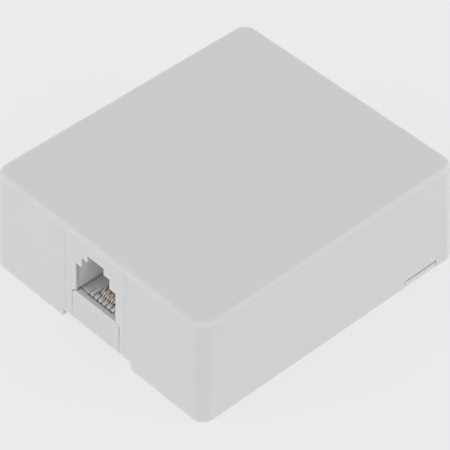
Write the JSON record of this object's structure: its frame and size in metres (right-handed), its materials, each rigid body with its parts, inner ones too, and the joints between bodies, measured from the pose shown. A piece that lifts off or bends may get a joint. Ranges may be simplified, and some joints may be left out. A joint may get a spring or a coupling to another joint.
{
  "type": "surface-mount modular jack box",
  "caption": "Rectangular surface-mount outlet box with a stepped modular plug port low in one side wall, a smooth lift-off cover, a pry slot and screw terminals inside.",
  "frame": {"origin": "centre of the box's footprint, on the mounting surface", "axes": "+Z away from the mounting surface, towards the cover's top; -Y out of the jack's port; +X to the right as the port is faced"},
  "size_m": [0.0524, 0.0586, 0.0209],
  "materials": {
    "cover_plastic": "fine satin moulded ABS, very light grey",
    "base_plastic": "satin moulded ABS, very light grey",
    "jack_plastic": "satin moulded plastic, very light grey",
    "contact_gold": "gold plated spring wire",
    "lead_black": "black insulation",
    "lead_red": "red insulation",
    "lead_green": "green insulation",
    "lead_yellow": "yellow insulation",
    "lug_brass": "plain stamped brass",
    "washer_steel": "nickel plated, tumbled",
    "screw_steel": "nickel plated"
  },
  "bodies": {
    "base": {"base_plate": "base_plastic", "jack_housing": "jack_plastic", "contact_carrier": "jack_plastic", "contact_tail_1": "contact_gold", "contact_tail_2": "contact_gold", "contact_tail_3": "contact_gold", "contact_tail_4": "contact_gold", "lead_black": "lead_black", "lead_red": "lead_red", "lead_green": "lead_green", "lead_yellow": "lead_yellow", "lug_black": "lug_brass", "lug_red": "lug_brass", "lug_green": "lug_brass", "lug_yellow": "lug_brass", "washer_lower_1": "washer_steel", "washer_lower_2": "washer_steel", "washer_lower_3": "washer_steel", "washer_lower_4": "washer_steel", "washer_upper_1": "washer_steel", "washer_upper_2": "washer_steel", "washer_upper_3": "washer_steel", "washer_upper_4": "washer_steel"},
    "cover": {"cover": "cover_plastic"},
    "contact_spring_1_body": {"contact_spring_1": "contact_gold"},
    "contact_spring_2_body": {"contact_spring_2": "contact_gold"},
    "contact_spring_3_body": {"contact_spring_3": "contact_gold"},
    "contact_spring_4_body": {"contact_spring_4": "contact_gold"},
    "terminal_screw_1_body": {"terminal_screw_1": "screw_steel"},
    "terminal_screw_2_body": {"terminal_screw_2": "screw_steel"},
    "terminal_screw_3_body": {"terminal_screw_3": "screw_steel"},
    "terminal_screw_4_body": {"terminal_screw_4": "screw_steel"}
  },
  "joints": [
    {"name": "cover_lift", "type": "slide", "parent": "base", "child": "cover", "axis": [0, 0, 1], "range_m": [0, 0.03]},
    {"name": "contact_flex_1", "type": "hinge", "parent": "base", "child": "contact_spring_1_body", "pos_m": [-0.0013, -0.02645, 0.0066], "axis": [1, 0, 0], "range_deg": [-12, 0], "stiffness_Nm_per_rad": 0.01, "springref_deg": 8.59},
    {"name": "contact_flex_2", "type": "hinge", "parent": "base", "child": "contact_spring_2_body", "pos_m": [-0.00029, -0.02645, 0.0066], "axis": [1, 0, 0], "range_deg": [-12, 0], "stiffness_Nm_per_rad": 0.01, "springref_deg": 8.59},
    {"name": "contact_flex_3", "type": "hinge", "parent": "base", "child": "contact_spring_3_body", "pos_m": [0.00073, -0.02645, 0.0066], "axis": [1, 0, 0], "range_deg": [-12, 0], "stiffness_Nm_per_rad": 0.01, "springref_deg": 8.59},
    {"name": "contact_flex_4", "type": "hinge", "parent": "base", "child": "contact_spring_4_body", "pos_m": [0.00174, -0.02645, 0.0066], "axis": [1, 0, 0], "range_deg": [-12, 0], "stiffness_Nm_per_rad": 0.01, "springref_deg": 8.59},
    {"name": "screw_turn_1", "type": "hinge", "parent": "base", "child": "terminal_screw_1_body", "pos_m": [-0.015, 0.006, 0.009], "axis": [0, 0, 1], "range_deg": [0, 720]},
    {"name": "screw_turn_2", "type": "hinge", "parent": "base", "child": "terminal_screw_2_body", "pos_m": [-0.005, 0.006, 0.009], "axis": [0, 0, 1], "range_deg": [0, 720]},
    {"name": "screw_turn_3", "type": "hinge", "parent": "base", "child": "terminal_screw_3_body", "pos_m": [0.005, 0.006, 0.009], "axis": [0, 0, 1], "range_deg": [0, 720]},
    {"name": "screw_turn_4", "type": "hinge", "parent": "base", "child": "terminal_screw_4_body", "pos_m": [0.015, 0.006, 0.009], "axis": [0, 0, 1], "range_deg": [0, 720]}
  ]
}
